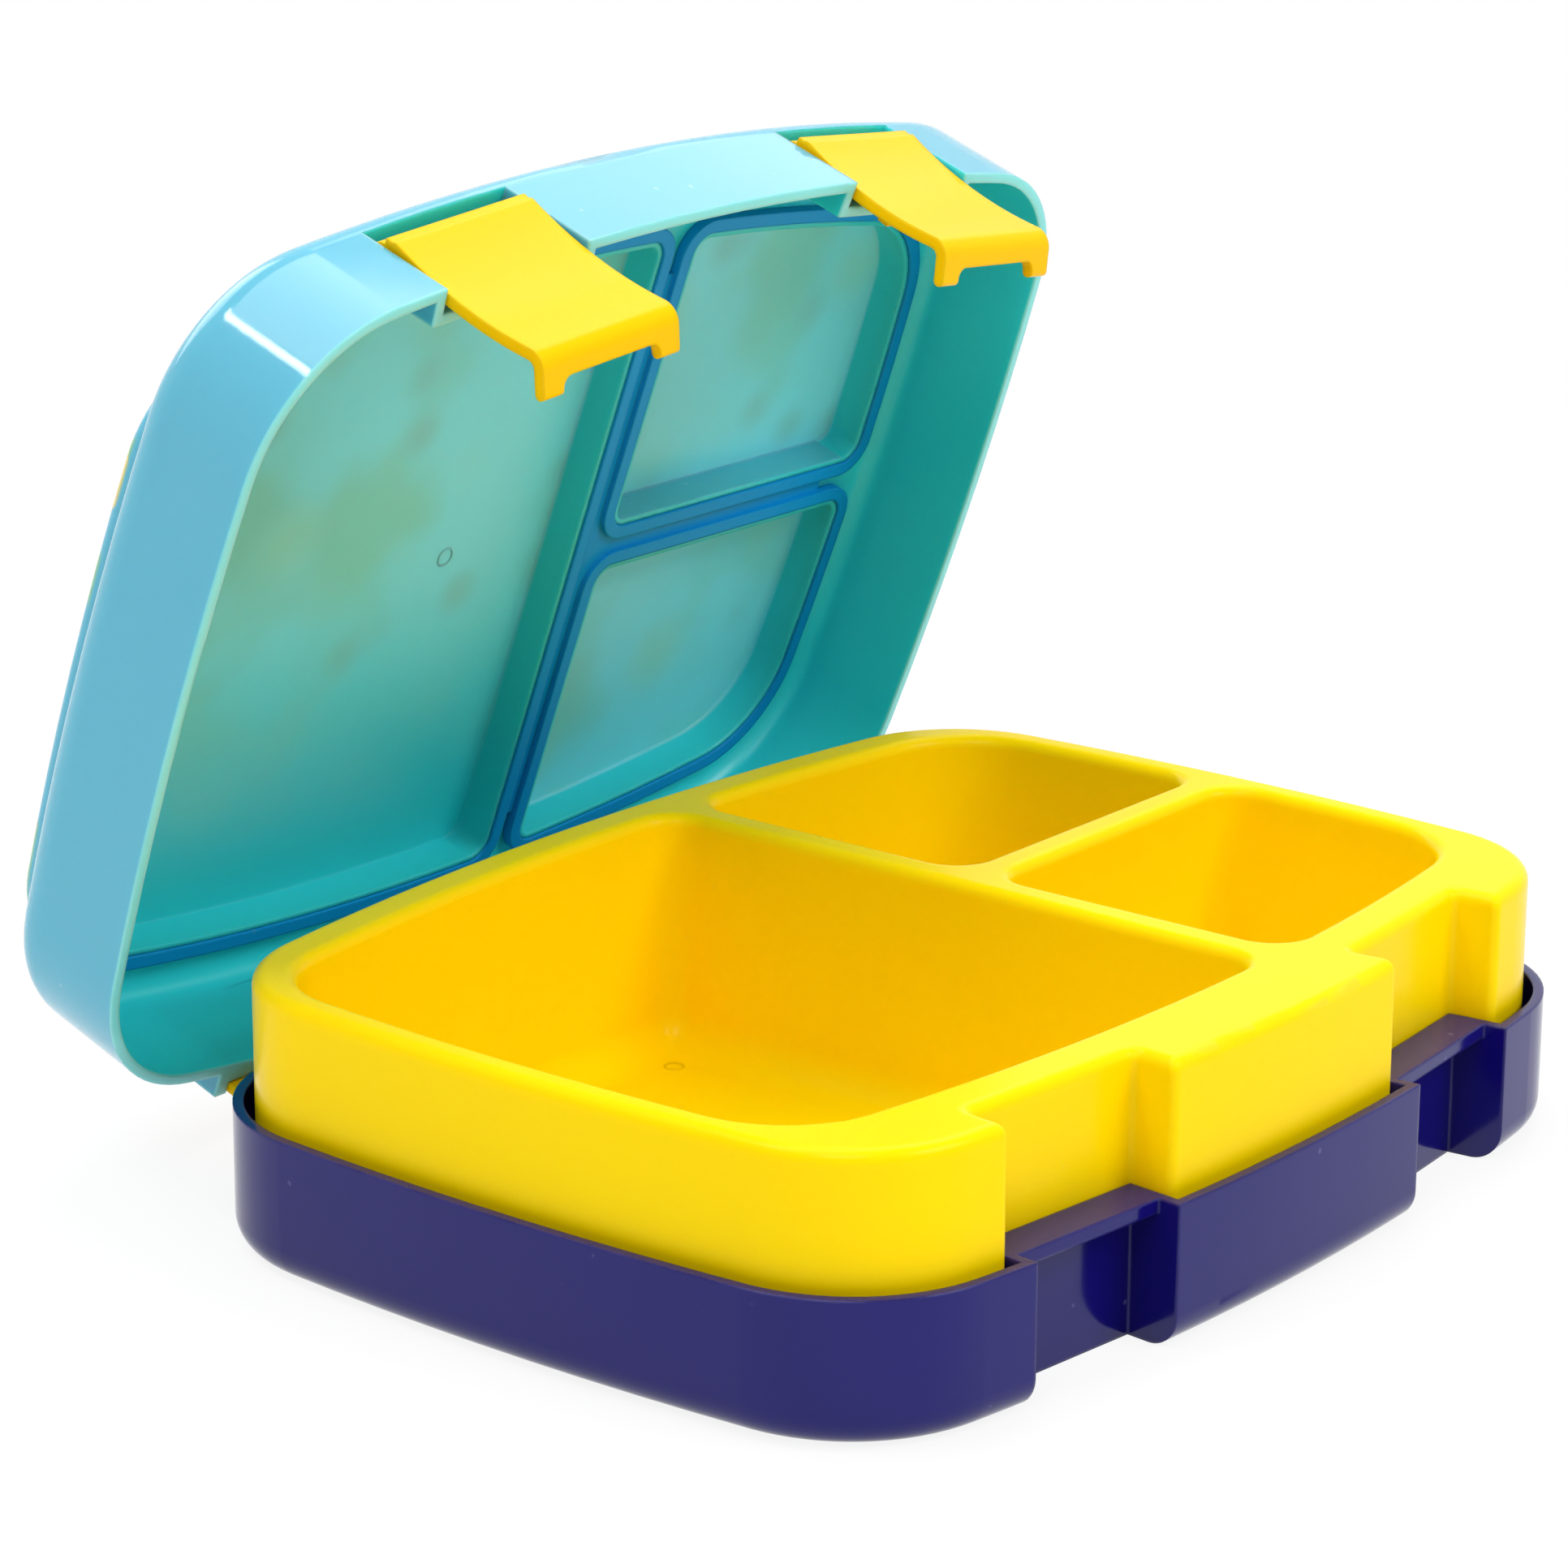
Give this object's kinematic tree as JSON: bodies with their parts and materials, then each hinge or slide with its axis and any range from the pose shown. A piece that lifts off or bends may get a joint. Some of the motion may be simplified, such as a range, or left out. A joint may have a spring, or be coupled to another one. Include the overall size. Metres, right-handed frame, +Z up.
{
  "type": "lunch box",
  "caption": "Open bento lunch box with a lift-out compartment tray, a clear linked lid with a rubber seal, and snap latches on its front.",
  "frame": {"origin": "middle of the base's flat underside", "axes": "+X along the hinge line to the right, +Y from the latch side to the hinge side, +Z up"},
  "size_m": [0.21, 0.1994, 0.1675],
  "materials": {
    "base_plastic": "glossy dark blue moulding",
    "tray_plastic": "satin yellow moulding",
    "lid_plastic": "glossy translucent light blue moulding",
    "seal_rubber": "matt blue rubber",
    "latch_plastic": "satin yellow moulding",
    "link_plastic": "satin yellow moulding"
  },
  "bodies": {
    "base": {"base_shell": "base_plastic"},
    "tray": {"food_tray": "tray_plastic"},
    "links": {"left_hinge_link": "link_plastic", "right_hinge_link": "link_plastic"},
    "lid": {"lid_shell": "lid_plastic", "seal_gasket": "seal_rubber"},
    "left_latch": {"left_latch": "latch_plastic"},
    "right_latch": {"right_latch": "latch_plastic"}
  },
  "joints": [
    {"name": "link_swing", "type": "hinge", "parent": "base", "child": "links", "pos_m": [0, 0.0772, 0.0072], "axis": [-1, 0, 0], "range_deg": [-69.75, 0]},
    {"name": "lid_tilt", "type": "hinge", "parent": "links", "child": "lid", "pos_m": [0, 0.10875, 0.01788], "axis": [-1, 0, 0], "range_deg": [0, 25]},
    {"name": "left_latch_swing", "type": "hinge", "parent": "lid", "child": "left_latch", "pos_m": [-0.05076, 0.05524, 0.1612], "axis": [-0.9951, 0.0343, -0.0929], "range_deg": [0, 90]},
    {"name": "right_latch_swing", "type": "hinge", "parent": "lid", "child": "right_latch", "pos_m": [0.05076, 0.05524, 0.1612], "axis": [-0.9951, -0.0343, 0.0929], "range_deg": [0, 90]},
    {"name": "tray_lift", "type": "slide", "parent": "base", "child": "tray", "axis": [0, 0, 1], "range_m": [0, 0.04]}
  ]
}
